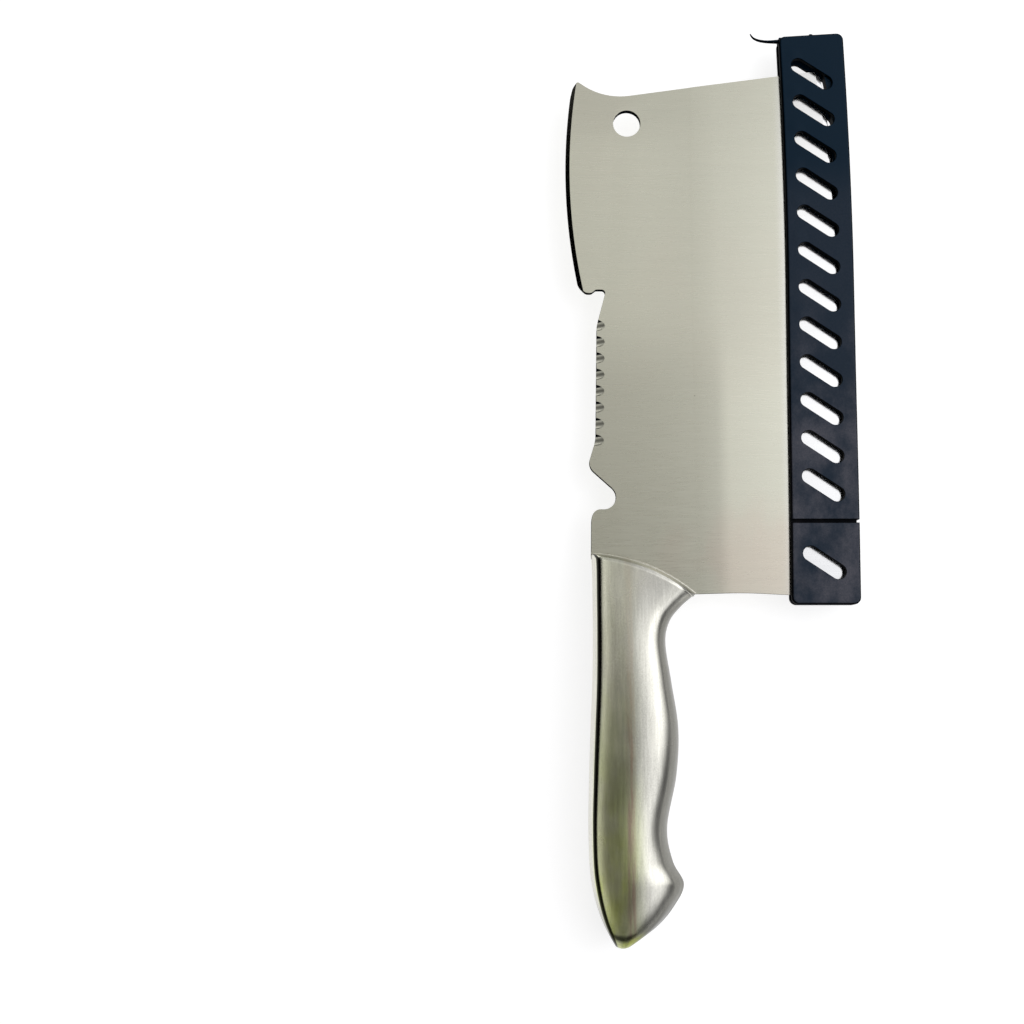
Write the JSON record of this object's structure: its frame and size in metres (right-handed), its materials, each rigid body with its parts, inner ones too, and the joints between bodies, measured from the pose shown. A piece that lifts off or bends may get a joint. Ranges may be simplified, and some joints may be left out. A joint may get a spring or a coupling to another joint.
{
  "type": "kitchen chopper knife",
  "caption": "Broad chopping knife with a hollow steel handle, notched and scalloped back, hang hole and a slotted pull-off edge guard.",
  "frame": {"origin": "under the middle of the knife's box, on the surface it lies on", "axes": "+Z away from the surface, square to the blade's flat side; +Y from the butt of the handle to the toe; +X from the spine to the cutting edge"},
  "size_m": [0.1028, 0.3286, 0.021],
  "materials": {
    "blade_steel": "fine brushed, lines across the blade",
    "handle_steel": "satin, fine blasted",
    "weld_steel": "ground satin",
    "guard_plastic": "moulded, faintly textured"
  },
  "bodies": {
    "knife": {"blade": "blade_steel", "handle_front_shell": "handle_steel", "handle_back_shell": "handle_steel", "front_joint_weld": "weld_steel", "back_joint_weld": "weld_steel", "spine_seam_weld": "weld_steel", "belly_seam_weld": "weld_steel"},
    "guard": {"guard_main_section": "guard_plastic", "guard_snap_off_end": "guard_plastic"}
  },
  "joints": [
    {"name": "guard_pull", "type": "slide", "parent": "knife", "child": "guard", "axis": [1, 0, 0], "range_m": [0, 0.04]}
  ]
}
